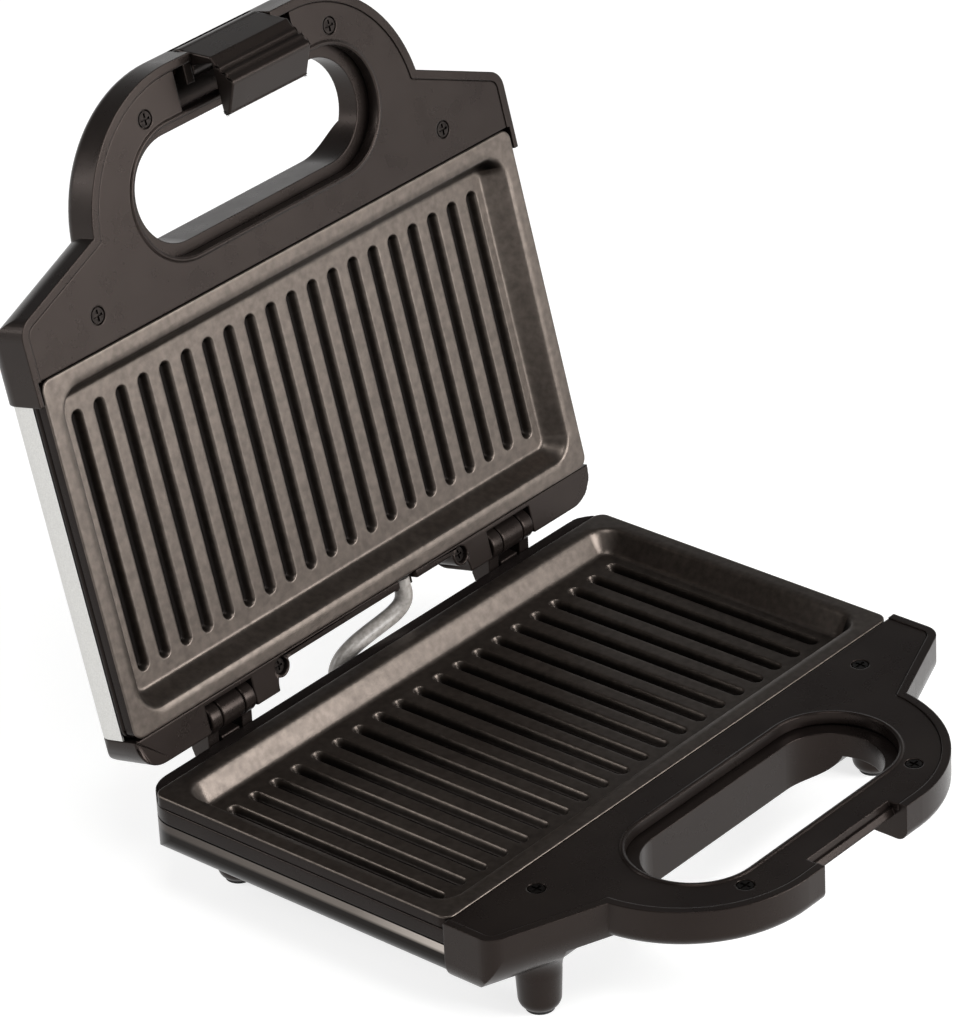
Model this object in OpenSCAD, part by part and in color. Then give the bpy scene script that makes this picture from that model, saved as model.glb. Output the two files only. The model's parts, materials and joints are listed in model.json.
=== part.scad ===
// Sandwich toaster: two grill halves on a rear hinge, drawn with the lid open.
// X is the width, the handles point to -Y, the feet stand on Z = 0.
// Each half is drawn in its own frame first: rim plane at z = 0, body below it,
// middle of the plate at y = 0. The lid's half is mirrored and turned open.

/* [Plates] */
// Width of a grill plate, which is the width of the body
plate_w = 230; // [200:1:260]
// Depth of a grill plate from hinge side to handle side
plate_d = 125.6; // [118:0.2:140]
// Flat rim round the pan
rim_w = 6; // [4:0.5:8]
// Depth of the pan below the rim
pan_depth = 7.7; // [5:0.1:9]
// How far the pan's walls lean in over their depth
pan_slope = 5; // [3:0.5:6]
// Radius of the pan's corners at the rim
pan_r = 9; // [7:0.5:12]
// Radius of the plate's own corners
plate_r = 4; // [2:0.5:8]
// Thickness of the plate's flange
flange_t = 4; // [3:0.5:5]
// Thickness of the pan's floor
floor_t = 4; // [3.8:0.2:5]
// Number of grooves in a plate
groove_n = 20; // [12:1:22]
// Width of a groove at the floor
groove_w = 4; // [2.5:0.1:5]
// Depth of a groove
groove_depth = 2.6; // [1.5:0.1:3]
// Clear floor between the grooves' ends and the pan's wall
groove_margin = 6.5; // [4:0.5:12]

/* [Body] */
// Room under the base's plate for heater, shield and wiring
base_room = 10.8; // [9.2:0.2:14]
// Room over the lid's plate for heater and shield
lid_room = 7.8; // [7.6:0.2:12]
// Black band of the base's frame below the rim
base_band = 9.7; // [7:0.1:10]
// Black band of the lid's frame
lid_band = 6; // [5.4:0.2:8]
// Thickness of the steel skins
skin_t = 0.8; // [0.6:0.1:1.2]
// Rounding between a skin's side and its flat face
skin_r = 7; // [4:0.5:9]
// Depth of the lower frame behind the plate
rear_band = 5; // [4:0.5:7]
// Corner radius of the base, seen from above
base_corner_r = 12; // [8:0.5:14]
// Depth of the lid's rear housing
rear_house_d = 12; // [10:0.5:14]
// Corner radius of the lid's rear housing
rear_house_r = 11; // [7:0.5:11.5]
// Depth of the centre recess in the lid's rear housing
recess_d = 9; // [6:0.5:9.5]
// Width of that recess
recess_w = 98; // [80:1:104]
// Gap between the two rim planes when shut
shut_gap = 3; // [2:0.1:4]
// Clearance between pieces of one half
fit = 0.2; // [0.1:0.05:0.3]

/* [Handles] */
// Reach of a handle beyond the plate
handle_reach = 76; // [68:1:90]
// Corner radius of the handle's loop
loop_r = 48.8; // [40:0.2:54]
// Half width of the handle's loop
loop_half = 78.8; // [70:0.2:86]
// Depth of the handle's walls
handle_h = 13.5; // [13:0.5:15]
// How far the front moulding stands out beside the plate
apron_flare = 2.5; // [1:0.5:4]
// Straight side of the apron in front of the plate
apron_side = 19; // [14:0.5:22]
// How far the lid's front moulding laps over the sides behind the joint
side_lap = 8; // [2:0.5:12]
// Run of the slanted edge from the apron to the loop
apron_slant = 15; // [11:0.5:18]
// Rounding of the apron's corners, seen from above
apron_r = 7; // [4:0.5:9]
// Rounding of the apron's lower edges in front and along the slants
apron_edge_r = 15; // [9:0.5:15.5]
// Rounding of the handle's outer lower edge
handle_edge_r = 4; // [2:0.5:5]
// Wall between the outer face and the inner panel
lip_w = 3; // [2.4:0.1:4]
// Wall of the front mouldings
wall = 2.4; // [2:0.1:2.8]
// Thickness of the inner panel
panel_t = 2.2; // [1.8:0.1:2.6]
// Half width of the finger hole in the panel
hole_half = 58; // [50:0.5:60]
// Radius of the finger hole's ends in the panel
hole_r = 22; // [18:0.5:23]
// Step from the panel's hole in to the moulding's tube
hole_step = 4; // [3:0.5:5]
// Panel screws: radius of the shank
screw_r = 1.5; // [1.2:0.1:1.8]
// Panel screws: radius of the head
head_r = 2.6; // [2.3:0.1:3.2]

/* [Hinge] */
// Opening angle of the lid in the drawn pose
open_angle = 103.45; // [95:0.05:110]
// Hinge axis behind the plate's rear edge
hinge_back = 8.1; // [7.8:0.1:8.6]
// Hinge axis above the base's rim plane
hinge_up = 8.2; // [7.8:0.1:8.6]
// Radius of the knuckles and ears
knuckle_r = 5.5; // [5:0.1:5.8]
// Middle of each hinge from the middle of the body
hinge_x = 71.5; // [64:0.5:80]
// Length of a knuckle
knuckle_len = 10.4; // [8:0.2:14]
// Thickness of an ear
ear_t = 5; // [4:0.5:6]
// Hinge pin radius
pin_r = 2.5; // [2:0.1:3]
// Radial clearance of a pin in what turns on it
pin_fit = 0.06; // [0.03:0.01:0.1]
// Clear gap between a knuckle and its ears
side_gap = 0.4; // [0.3:0.05:0.6]

/* [Latch] */
// Half width of the latch
latch_half = 18.75; // [16:0.25:20]
// Pivot of the latch above the base's rim plane
latch_up = 9; // [8.5:0.1:10]
// Radius of the latch's barrel
latch_r = 5.5; // [4.5:0.1:5.6]
// Thickness of the latch's plate
latch_t = 2; // [1.6:0.1:2.4]
// Radius of the latch's pin
latch_pin_r = 1.6; // [1.3:0.1:2]
// Thickness of the lower handle over the latch recess
catch_t = 4.8; // [4.4:0.1:5.4]
// Reach of the latch's hook under the lower handle
hook_len = 17; // [8:0.5:18]
// Half width of the latch recess in the lower handle
catch_half = 21.5; // [20.5:0.25:24]
// Half width of the pocket round the latch in the upper handle
pocket_half = 28; // [25:0.5:32]

/* [Feet and cord] */
// Height of the body's underside above the table
leg_h = 19.5; // [15:0.5:30]
// Radius of a leg at its foot
leg_r = 7; // [6:0.5:9]
// Feet from the middle of the body
leg_x = 88; // [75:1:95]
// Front feet in front of the plate
leg_front = 13; // [12:0.5:14]
// Rear feet in front of the plate's rear edge
leg_rear = 10; // [9:0.5:30]
// Bore of the cord gland
gland_bore = 3.6; // [3:0.1:4]
// Cord gland from the middle of the body
gland_x = 30; // [24:1:44]
// Radius of the sleeved lead between the halves
lead_r = 3.1; // [2.5:0.1:3.4]

/* [Hidden] */

$fn = 48;
e = 0.5;
hw = plate_w/2;
hd = plate_d/2;
plate_t = pan_depth + floor_t;
base_h = plate_t + base_room;
lid_h = plate_t + lid_room;
// heater tube, the posts that carry its clamp, and the shield under them
heater_r = 2.6;
bend_r = hd - 36.8;
post_x = 40;
post_len = 2*heater_r + fit;
clamp_t = 0.8;
shield_x = hw - 11;
shield_y = hd - 12.8;
pan_x = hw - rim_w;
pan_y = hd - rim_w;
floor_x = pan_x - pan_slope;
floor_y = pan_y - pan_slope;
groove_pitch = (2*floor_x - 3)/groove_n;
groove_end = floor_y - groove_margin;

loop_cx = loop_half - loop_r;
front_y = -hd - handle_reach;
loop_cy = front_y + loop_r;
joint_y = -hd - fit;
apron_x = hw + apron_flare;
apron_y = joint_y - apron_side;
slant_a = atan2(apron_slant, apron_x - loop_half);
hole_cx = hole_half - hole_r;
hole_cy = loop_cy - 8;
tube_r = hole_r - hole_step;
ring_w = 1.6;
ring_h = 1.6;
panel_top = -0.3;
panel_low = panel_top - panel_t;
shelf_z = -5;
collar_r = hole_r + ring_w + 0.6;
screw_front = [44.4, front_y + 13.8];
screw_side = [84.5, joint_y - 10.5];

hinge_y = hd + hinge_back;
ear_gap = knuckle_len/2 + side_gap;
base_rear = hd + rear_band;
lid_rear = hd + rear_house_d;

// the ears' room in the lid, deep enough for their legs with the lid open
hinge_room = hinge_up + knuckle_r - shut_gap + 1.9;
recess_y = lid_rear - recess_d;
boss_x = recess_w/2 - 3;
boss_y = recess_y + 1.2;
gland_z = -base_h + 6.9;
lamp_x = 12;
lamp_y = joint_y - 9.2;
feet_y = [-hd - leg_front, hd - leg_rear];
strip_y = front_y + 4.5;
latch_y = front_y + 5;
hook_z = -catch_t - 0.6;

body_z = leg_h + base_h;
// half widths of the base's rear opening, of its housing and of the housing's inner part
rear_open_x = hw - 19;
rear_x = rear_open_x - 0.3;
rear_inner_x = rear_x - 3.7;
lid_reach = hinge_y - front_y;
// the open lid's rearmost line is the rounded outer edge of its handle
edge_up = shut_gap + handle_h - handle_edge_r - hinge_up;
rear_y = hinge_y - (lid_reach - handle_edge_r)*cos(open_angle) + edge_up*sin(open_angle)
  + handle_edge_r;
mid_y = (front_y + rear_y)/2;

steel = "silver";
black = "#2b2725";

// A point of the arc of radius r about c
function on_arc(c, r, a) = [c[0] + r*cos(a), c[1] + r*sin(a)];
// The base's half, feet on z = 0, with the open machine centred in y
module lower() {
  translate([0, -mid_y, body_z]) children();
}
// What is drawn shut over the base, turned open about the hinge
module turned() {
  lower() translate([0, hinge_y, hinge_up]) rotate([-open_angle, 0, 0])
    translate([0, -hinge_y, -hinge_up]) children();
}
// The lid's half, drawn like the base's and mirrored over the gap
module upper() {
  turned() translate([0, 0, shut_gap]) mirror([0, 0, 1]) children();
}
module both() {
  children();
  mirror([1, 0, 0]) children();
}
// A prism along X of a profile drawn in y and z
module along_x(half) {
  rotate([90, 0, 90]) translate([0, 0, -half]) linear_extrude(2*half) children();
}
// A prism along Y, from y0 over a length, of a profile drawn in x and z
module along_y(y0, len) {
  translate([0, y0 + len, 0]) rotate([90, 0, 0]) linear_extrude(len) children();
}
module rounded(x, y, r) {
  for (sx = [-1, 1], sy = [-1, 1]) translate([sx*(x - r), sy*(y - r)]) circle(r);
  square([2*(x - r), 2*y], center = true);
  square([2*x, 2*(y - r)], center = true);
}
// A slot whose walls lean out upwards, top at z = 0
module leaning_slot(x, y, r, lean, depth) {
  for (sx = [-1, 1], sy = [-1, 1]) translate([sx*(x - r), sy*(y - r), -depth])
    cylinder(h = depth, r1 = r - lean, r2 = r);
  along_y(-(y - r), 2*(y - r))
    polygon([[-(x - lean), -depth], [x - lean, -depth], [x, 0], [-x, 0]]);
  along_x(x - r)
    polygon([[-(y - lean), -depth], [y - lean, -depth], [y, 0], [-y, 0]]);
}

// Pan, grooves and flange of one grill plate
module plate() {
  difference() {
    union() {
      translate([0, 0, -flange_t]) linear_extrude(flange_t) rounded(hw, hd, plate_r);
      translate([0, 0, -plate_t]) linear_extrude(plate_t)
        rounded(pan_x + 1, pan_y + 1, pan_r);
      for (s = [-1, 1]) translate([s*post_x, 0, -plate_t - post_len])
        cylinder(h = post_len + 1, r = 3.5);
    }
    leaning_slot(pan_x, pan_y, pan_r, pan_slope, pan_depth);
    translate([-pan_x - 1 + pan_r, -pan_y - 1 + pan_r, 0])
      cube([2*(pan_x + 1 - pan_r), 2*(pan_y + 1 - pan_r), 1]);
    for (i = [0:groove_n - 1]) translate([(i - (groove_n - 1)/2)*groove_pitch, 0, 0])
      groove();
    for (s = [-1, 1]) translate([s*post_x, 0, -plate_t - post_len - 1])
      cylinder(h = post_len + 0.5, r = 1.3);
  }
}
// One groove: a slot with round ends and leaning walls
module groove() {
  r = groove_w/2;
  low = r - 0.7;
  translate([0, 0, -pan_depth - groove_depth]) {
    for (s = [-1, 1]) translate([0, s*(groove_end - r), 0])
      cylinder(h = groove_depth, r1 = low, r2 = r);
    along_y(-(groove_end - r), 2*(groove_end - r))
      polygon([[-low, 0], [low, 0], [r, groove_depth], [-r, groove_depth]]);
    translate([0, 0, groove_depth - 0.01]) linear_extrude(0.3) {
      for (s = [-1, 1]) translate([0, s*(groove_end - r)]) circle(r);
      square([2*r, 2*(groove_end - r)], center = true);
    }
  }
}

// Outline of the front moulding, taken in by d
module apron_plan(d, back) {
  x = apron_x - d;
  k = (1 - sin(slant_a))/cos(slant_a);
  c = [apron_x - apron_r, apron_y + apron_r*k];
  inner = loop_half - d - 4;
  inner_y = apron_y + d*k - (x - inner)*tan(slant_a);
  corner = [for (i = [0:8]) on_arc(c, apron_r - d, (slant_a - 90)*i/8)];
  half = concat([[x, back]], corner, [[inner, inner_y]]);
  other = [for (i = [len(half) - 1:-1:0]) [-half[i][0], half[i][1]]];
  polygon(concat(half, other));
}
module loop_plan(d) {
  for (s = [-1, 1]) translate([s*loop_cx, loop_cy]) circle(loop_r - d);
  translate([-loop_cx, loop_cy - loop_r + d]) square([2*loop_cx, loop_r]);
  translate([-loop_half + d, loop_cy]) square([2*(loop_half - d), apron_y - loop_cy + 8]);
}
// Both together, cut off at the joint line
module front_plan(d, back) {
  apron_plan(d, back);
  difference() {
    loop_plan(d);
    translate([-apron_x, apron_y + 4]) square([2*apron_x, plate_d]);
  }
}
module hole_plan(r, cx) {
  for (s = [-1, 1]) translate([s*cx, hole_cy]) circle(r);
  translate([-cx, hole_cy - r]) square([2*cx, 2*r]);
}
// Half section of the handle's body: flat top, rounded lower outer edge
module edge_section(reach, depth, r, back) {
  translate([-back, -depth]) square([back + reach - r, depth]);
  translate([-back, -depth + r]) square([back + reach, depth - r]);
  translate([reach - r, -depth + r]) circle(r);
}
// The handle's loop as a solid with rounded edges, taken in by d
module loop_body(d, depth, r) {
  reach = loop_r - d;
  for (s = [0, 1]) mirror([s, 0, 0]) {
    translate([loop_cx, loop_cy, 0]) rotate([0, 0, -90]) rotate_extrude(angle = 90)
      intersection() {
        edge_section(reach, depth, r, 1);
        translate([0, -50]) square([100, 100]);
      }
    along_y(loop_cy, apron_y - loop_cy + 6) translate([loop_cx, 0])
      edge_section(reach, depth, r, loop_cx);
  }
  translate([-loop_cx, loop_cy, 0]) rotate([90, 0, 90]) linear_extrude(2*loop_cx)
    mirror([1, 0]) edge_section(reach, depth, r, 0.5);
}
// The apron as a solid with rounded lower edges, taken in by d
module apron_body(d, depth, low, r, edge) {
  x = apron_x - d;
  front = -loop_cy + 2 - d;
  intersection() {
    translate([0, 0, -depth - 1]) linear_extrude(depth + 1) apron_plan(d, joint_y - d);
    slant_body(d, depth, edge);
    mirror([1, 0, 0]) slant_body(d, depth, edge);
    along_y(-front - 9, front + 9 - hd) rounded_base(x, depth, r);
    along_x(x + 2) {
      translate([-front - 9, -low]) square([front + 9 - hd, low + 2]);
      translate([-front, -depth + edge]) square([front - hd, depth - edge + 2]);
      translate([-front + edge, -depth]) square([front - edge - hd, depth + 2]);
      translate([-front + edge, -depth + edge]) circle(edge);
    }
  }
}
// All that lies behind one slanted side, its lower edge rounded
module slant_body(d, depth, edge) {
  translate([apron_x, apron_y, 0]) rotate([90, 0, slant_a - 90])
    translate([0, 0, -plate_w]) linear_extrude(2*plate_w)
      edge_section(-d, depth, edge, 2*plate_w);
}
// Handle and apron of a half h deep, taken in by d at the sides and down below
module moulding_body(h, d, down) {
  difference() {
    union() {
      loop_body(d, handle_h - down, handle_edge_r - min(d, 2));
      apron_body(d, h - down, handle_h - down, 8 - min(d, 3), apron_edge_r - d);
    }
    translate([-plate_w, joint_y - d, -40]) cube([2*plate_w, 60, 60]);
  }
}
// Front moulding of a half, solid over a half width where the latch works
module shell(h, solid_half) {
  lip = lip_w + 1.4;
  difference() {
    moulding_body(h, 0, 0);
    // seat of the panel
    translate([0, 0, panel_low]) linear_extrude(10) front_plan(lip_w, joint_y + 5);
    // hollow below the panel, round the finger tube and the screw posts
    difference() {
      moulding_body(h, lip, wall);
      translate([0, 0, -50]) linear_extrude(60) hole_plan(tube_r + wall, hole_cx - 1);
      // shelf and collar under the panel's ring
      translate([0, 0, shelf_z - wall]) linear_extrude(20) hole_plan(collar_r + wall, hole_cx);
      both() {
        translate([screw_front[0], screw_front[1], -50]) cylinder(h = 60, r = 4.2);
        translate([screw_side[0], screw_side[1], -50]) cylinder(h = 60, r = 4.2);
      }
      translate([-solid_half, front_y, -50])
        cube([2*solid_half, hole_cy - tube_r - front_y, 60]);
    }
    translate([0, 0, -50]) linear_extrude(60) hole_plan(tube_r, hole_cx - 1);
    // the tube's top stands back below the panel's hole
    translate([0, 0, shelf_z]) linear_extrude(20) hole_plan(collar_r, hole_cx);
    both() {
      translate([screw_front[0], screw_front[1], -12]) cylinder(h = 20, r = screw_r);
      translate([screw_side[0], screw_side[1], -14]) cylinder(h = 20, r = screw_r);
    }
  }
}
module lower_shell() {
  color(black) lower() difference() {
    union() {
      shell(base_h, catch_half + wall);
      // flat seats of the front legs
      both() translate([leg_x, feet_y[0], -base_h]) cylinder(h = wall - 0.4, r = leg_r + 1);
    }
    // recess for the latch, open below, in front and to the finger hole
    translate([-catch_half, front_y - e, -40])
      cube([2*catch_half, hole_cy - tube_r - front_y + 2*e, 40 - catch_t]);
    along_x(catch_half) polygon([[front_y - 1, -catch_t - 1], [strip_y + 0.2, -catch_t - 1],
      [strip_y + 0.2, -catch_t], [strip_y + 2.8, panel_top + 1], [front_y - 1, panel_top + 1]]);
  }
}
// Flat inner cover of a handle, with a raised lip round its finger hole
module panel() {
  difference() {
    union() {
      translate([0, 0, panel_low]) linear_extrude(panel_t)
        front_plan(lip_w + fit, joint_y - fit);
      translate([0, 0, panel_low - ring_h]) linear_extrude(ring_h - panel_low)
        hole_plan(hole_r + ring_w, hole_cx);
    }
    translate([0, 0, -10]) linear_extrude(20) hole_plan(hole_r, hole_cx);
    both() for (p = [screw_front, screw_side]) translate([p[0], p[1], 0]) {
      translate([0, 0, -10]) cylinder(h = 20, r = screw_r + 0.3);
      translate([0, 0, panel_low + 1]) cylinder(h = 5, r = head_r + 0.5);
    }
  }
}
module lower_panel() {
  color(black) lower() difference() {
    panel();
    along_x(catch_half) polygon([[front_y, panel_low - 1], [strip_y + 1.9, panel_low - 1],
      [strip_y + 2.9, panel_top + 0.5], [front_y, panel_top + 0.5]]);
  }
}
module screws() {
  both() for (p = [screw_front, screw_side]) translate([p[0], p[1], panel_low + 1]) {
    difference() {
      cylinder(h = 1.1, r = head_r);
      for (a = [0, 90]) rotate([0, 0, a]) translate([-2, -0.4, 0.5]) cube([4, 0.8, 2]);
    }
    translate([0, 0, -8]) cylinder(h = 8.2, r = screw_r - 0.05);
  }
}
module lower_panel_screws() {
  color(steel) lower() screws();
}

// Ring under a plate's flange, with the black band that shows at the side
module frame_ring(band, rear, r) {
  difference() {
    translate([0, 0, -band]) linear_extrude(band - flange_t - fit) body_plan(rear, r);
    translate([0, 0, -40]) linear_extrude(60) rounded(pan_x + 1 + fit, pan_y + 1 + fit, pan_r);
  }
  difference() {
    translate([0, 0, -band - 4]) linear_extrude(5)
      rounded(pan_x + 4, pan_y + 3.4, pan_r + 2);
    translate([0, 0, -40]) linear_extrude(60) rounded(pan_x + 1 + fit, pan_y + 1 + fit, pan_r);
  }
}
// Outline of the body beside and behind the plate
module body_plan(rear, r) {
  x = hw + 0.5;
  y0 = joint_y + fit;
  translate([-x, y0]) square([2*x, rear - r - y0]);
  translate([-x + r, rear - r - 1]) square([2*(x - r), r + 1]);
  for (s = [-1, 1]) translate([s*(x - r), rear - r]) circle(r);
}
module lower_frame() {
  color(black) lower() {
    frame_ring(base_band, base_rear, base_corner_r);
    // raised band behind the plate
    difference() {
      translate([0, 0, -base_band]) linear_extrude(base_band - 0.5)
        body_plan(base_rear, base_corner_r);
      translate([-plate_w, -plate_d, -60]) cube([2*plate_w, plate_d + hd + fit, 100]);
    }
  }
}
module upper_frame() {
  color(black) upper() frame_ring(lid_band, hd, plate_r);
}
// Section of a skin: sides from the band down, rounded into the flat face
module skin_section(h, band, d) {
  x = hw + 0.5 - d;
  intersection() {
    rounded_base(x, h - d, skin_r - d);
    translate([-x, -h]) square([2*x, h - band - fit + d]);
  }
}
// Flat on top at z = 0, both lower corners rounded
module rounded_base(x, depth, r) {
  translate([-x, -depth + r]) square([2*x, depth - r]);
  translate([-x + r, -depth]) square([2*(x - r), depth]);
  for (s = [-1, 1]) translate([s*(x - r), -depth + r]) circle(r);
}
module lower_skin() {
  rear = base_rear;
  color(steel) lower() difference() {
    intersection() {
      along_y(joint_y + fit, rear - joint_y - fit) skin_section(base_h, base_band, 0);
      translate([0, 0, -40]) linear_extrude(60) body_plan(rear, base_corner_r);
      along_x(hw + 1) rear_section(base_h, rear, 0);
    }
    intersection() {
      along_y(joint_y - 5, rear - joint_y + 5 - skin_t)
        skin_section(base_h, base_band, skin_t);
      translate([0, 0, -40]) linear_extrude(60) translate([0, -skin_t])
        rear_cut(rear, base_corner_r);
      along_x(hw + 1) rear_section(base_h, rear, skin_t);
    }
    // opening for the rear housing
    translate([-rear_open_x, hd - 3, -60]) cube([2*rear_open_x, 40, 100]);
  }
}
// Inner outline of the lower skin, open at the front
module rear_cut(rear, r) {
  x = hw + 0.5 - skin_t;
  ri = r - skin_t;
  translate([-x, joint_y - 20]) square([2*x, rear - ri - joint_y + 20]);
  translate([-x + ri, rear - ri - 1]) square([2*(x - ri), ri + 1]);
  for (s = [-1, 1]) translate([s*(x - ri), rear - ri]) circle(ri);
}
module rear_section(h, rear, d) {
  low = -h + d;
  r = skin_r - d;
  translate([joint_y - 10, low]) square([rear - d - r - joint_y + 10, 40]);
  translate([joint_y - 10, low + r]) square([rear - d - joint_y + 10, 40]);
  translate([rear - d - r, low + r]) circle(r);
}
module upper_skin() {
  color(steel) upper() difference() {
    along_y(joint_y + fit, hd - joint_y - fit) skin_section(lid_h, lid_band, 0);
    along_y(joint_y - 5, plate_d + 20) skin_section(lid_h, lid_band, skin_t);
  }
}

// Housing behind the base's plate, with the hinge ears and the open stops
module lower_rear_housing() {
  y1 = base_rear + fit;
  color(black) lower() difference() {
    union() {
      difference() {
        translate([-rear_x, hd - 2.4, -base_h + 0.6])
          cube([2*rear_x, rear_band + 2.4, base_h - 0.6 - base_band - fit]);
        translate([-rear_inner_x, hd - 5, -base_h + 3])
          cube([2*rear_inner_x, rear_band + 3, base_h - base_band - 5]);
      }
      both() {
        for (s = [-1, 1]) ear(hinge_x + s*(ear_gap + ear_t/2));
        // stop under the knuckle
        translate([hinge_x, 0, 0]) along_x(4.4) polygon([[y1, 0.2], [y1 + 9.3, 0.2],
          [y1 + 9.3, -6], [y1 + 1, -14], [y1 - 1, -14], [y1 - 1, -base_band - fit],
          [y1, -base_band - fit]]);
      }
    }
    both() translate([hinge_x, hinge_y, hinge_up]) rotate([0, 90, 0])
      cylinder(h = 2*(ear_gap + ear_t) + 2, r = pin_r + 0.02, center = true);
    translate([gland_x, hd - 10, gland_z]) rotate([-90, 0, 0]) cylinder(h = 40, r = 5.2);
    translate([lead_low[0], hd - 10, lead_low[1]]) rotate([-90, 0, 0])
      cylinder(h = 40, r = lead_r + 1.2);
  }
}
module ear(x) {
  y1 = base_rear + fit;
  translate([x, 0, 0]) along_x(ear_t/2) {
    translate([hinge_y, hinge_up]) circle(knuckle_r);
    polygon([[y1, hinge_up], [hinge_y + knuckle_r, hinge_up], [hinge_y + knuckle_r, -4],
      [y1 + 2, -18], [y1 - 1, -18], [y1 - 1, -base_band - fit], [y1, -base_band - fit]]);
  }
}
// Rear housing of the lid: rounded corners, centre recess, knuckles
module upper_rear_housing() {
  color(black) upper() difference() {
    union() {
      difference() {
        intersection() {
          translate([0, 0, -lid_h]) linear_extrude(lid_h - 0.5) difference() {
            body_plan(lid_rear, rear_house_r);
            translate([-plate_w, -plate_d]) square([2*plate_w, plate_d + hd + fit]);
          }
          along_x(hw + 1) rear_section(lid_h, lid_rear, 0);
          along_y(0, 100) rounded_base(hw + 0.5, lid_h, skin_r);
        }
        translate([0, recess_y + 20, -60]) linear_extrude(100)
          rounded(recess_w/2, 20, recess_d - 1);
        both() translate([hinge_x - ear_gap - ear_t - 0.6, hd + 2, -hinge_room])
          cube([2*(ear_gap + ear_t + 0.6), 30, 20]);
      }
      both() translate([hinge_x, 0, 0]) along_x(knuckle_len/2) {
        translate([hinge_y, shut_gap - hinge_up]) circle(knuckle_r);
        translate([hinge_y - knuckle_r, -hinge_room - e])
          square([2*knuckle_r, hinge_room + e + shut_gap - hinge_up]);
      }
      // screw bosses beside the recess
      both() translate([boss_x, boss_y, -lid_h + 4]) cylinder(h = lid_h - 4.5, r = 4);
    }
    both() translate([hinge_x, hinge_y, shut_gap - hinge_up]) rotate([0, 90, 0])
      cylinder(h = knuckle_len + 2, r = pin_r + pin_fit, center = true);
    both() translate([boss_x, boss_y, -14]) cylinder(h = 20, r = screw_r);
    both() translate([boss_x, boss_y, -3.3]) cylinder(h = 20, r = 2.9);
    // notch for the lead, open to the inner face
    translate([lead_high[0], hd - 5, shut_gap - lead_high[1]]) {
      rotate([-90, 0, 0]) cylinder(h = 40, r = lead_r + 1.2);
      translate([-lead_r - 1.2, 0, 0]) cube([2*(lead_r + 1.2), 40, 20]);
    }
  }
}
module upper_rear_screws() {
  color(steel) upper() both() translate([boss_x, boss_y, -3.3]) {
    difference() {
      cylinder(h = 1.3, r = 2.6);
      for (a = [0, 90]) rotate([0, 0, a]) translate([-1.6, -0.35, 0.7]) cube([3.2, 0.7, 2]);
    }
    translate([0, 0, -8]) cylinder(h = 8.5, r = screw_r - 0.05);
  }
}
module hinge_pin() {
  translate([0, hinge_y, hinge_up]) rotate([0, 90, 0])
    cylinder(h = 2*(ear_gap + ear_t), r = pin_r, center = true);
}
module hinge_pin_left() {
  color(steel) lower() mirror([1, 0, 0]) translate([hinge_x, 0, 0]) hinge_pin();
}
module hinge_pin_right() {
  color(steel) lower() translate([hinge_x, 0, 0]) hinge_pin();
}
module lower_plate() {
  color("#4a4644") lower() plate();
}
module upper_plate() {
  color("#4a4644") upper() plate();
}

// Tubular heater bent into a flat U under the plate
module element() {
  z = -plate_t - fit - heater_r;
  x1 = shield_x - 42;
  turn = 12;
  translate([-x1, 0, z]) rotate([0, 0, 90]) rotate_extrude(angle = 180)
    translate([bend_r, 0]) circle(heater_r);
  for (s = [-1, 1]) translate([-x1, s*bend_r, z]) rotate([0, 90, 0])
    cylinder(h = 2*x1 + (s > 0 ? 20 : 0), r = heater_r);
  translate([x1, -bend_r + turn, z]) rotate([0, 0, -90]) rotate_extrude(angle = 90)
    translate([turn, 0]) circle(heater_r);
  translate([x1 + turn, -bend_r + turn, z]) rotate([-90, 0, 0]) cylinder(h = 20, r = heater_r);
}
module lower_element() {
  color("#8c8880") lower() element();
}
module upper_element() {
  color("#8c8880") upper() element();
}
// Flat bar across the heater's legs, screwed to the plate's two posts
module element_clamp() {
  top = -plate_t - post_len - fit;
  difference() {
    translate([0, 0, top - clamp_t]) linear_extrude(clamp_t) {
      square([2*post_x + 12, 9], center = true);
      for (s = [-1, 1]) translate([s*post_x, 0]) square([10, 2*bend_r + 12], center = true);
    }
    for (s = [-1, 1]) translate([s*post_x, 0, top - 3]) cylinder(h = 6, r = 1.6);
  }
  for (s = [-1, 1]) translate([s*post_x, 0, top - clamp_t]) {
    cylinder(h = clamp_t + post_len - 0.6, r = 1.25);
    translate([0, 0, -0.4]) cylinder(h = 0.4, r = 2.6);
  }
}
module lower_element_clamp() {
  color(steel) lower() element_clamp();
}
module upper_element_clamp() {
  color(steel) upper() element_clamp();
}
// Thin tray between heater and skin, with the posts' heads clear
module heat_shield(h) {
  z = -h + skin_t + 0.1;
  difference() {
    translate([0, 0, z]) linear_extrude(5) rounded(shield_x, shield_y, 8);
    translate([0, 0, z + 0.4]) linear_extrude(20) rounded(shield_x - 0.5, shield_y - 0.5, 7.5);
    for (s = [-1, 1]) translate([s*post_x, 0, z - 1]) cylinder(h = 3, r = 3);
  }
}
module lower_heat_shield() {
  color(steel) lower() heat_shield(base_h);
}
module upper_heat_shield() {
  color(steel) upper() heat_shield(lid_h);
}

// Leg with a rounded foot and a seat for its pad
module leg(x, y) {
  pad_t = 3;
  edge = 3;
  foot = [for (i = [0:8]) on_arc([leg_r - edge, 1 + edge], edge, -90 + 100*i/8)];
  translate([x, y, -base_h - leg_h]) difference() {
    rotate_extrude() polygon(concat([[0, 1]], foot,
      [[leg_r - 0.9, 8], [leg_r - 0.6, leg_h - 4], [leg_r + 0.5, leg_h], [0, leg_h]]));
    translate([0, 0, -1]) cylinder(h = 1 + pad_t, r = leg_r - 2);
  }
}
module pad(x, y) {
  translate([x, y, -base_h - leg_h]) cylinder(h = 2.9, r = leg_r - 2.2);
}
module leg_front_left() {
  color(black) lower() leg(-leg_x, feet_y[0]);
}
module leg_front_right() {
  color(black) lower() leg(leg_x, feet_y[0]);
}
module leg_rear_left() {
  color(black) lower() leg(-leg_x, feet_y[1]);
}
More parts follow.
